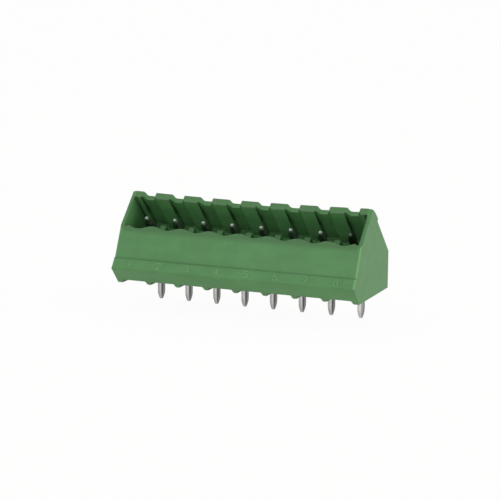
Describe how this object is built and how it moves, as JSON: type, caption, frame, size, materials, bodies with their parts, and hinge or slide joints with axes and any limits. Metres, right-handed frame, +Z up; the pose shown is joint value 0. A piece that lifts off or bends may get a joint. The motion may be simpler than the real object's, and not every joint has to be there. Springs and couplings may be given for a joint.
{
  "type": "terminal block header",
  "caption": "Inclined board header for a pluggable terminal block: a moulded shroud with a slanted plug cavity and a row of bent square contact pins.",
  "frame": {"origin": "on the board face, midway along the row of solder pins", "axes": "+X along the row from the first to the last pole, +Y from the front to the rear face, +Z up from the board"},
  "size_m": [0.0418, 0.0166, 0.0187],
  "materials": {
    "housing": "satin moulded",
    "pin": "tin plated"
  },
  "bodies": {
    "root": {"housing": "housing", "contact_pin_1": "pin", "contact_pin_2": "pin", "contact_pin_3": "pin", "contact_pin_4": "pin", "contact_pin_5": "pin", "contact_pin_6": "pin", "contact_pin_7": "pin", "contact_pin_8": "pin"}
  },
  "joints": []
}
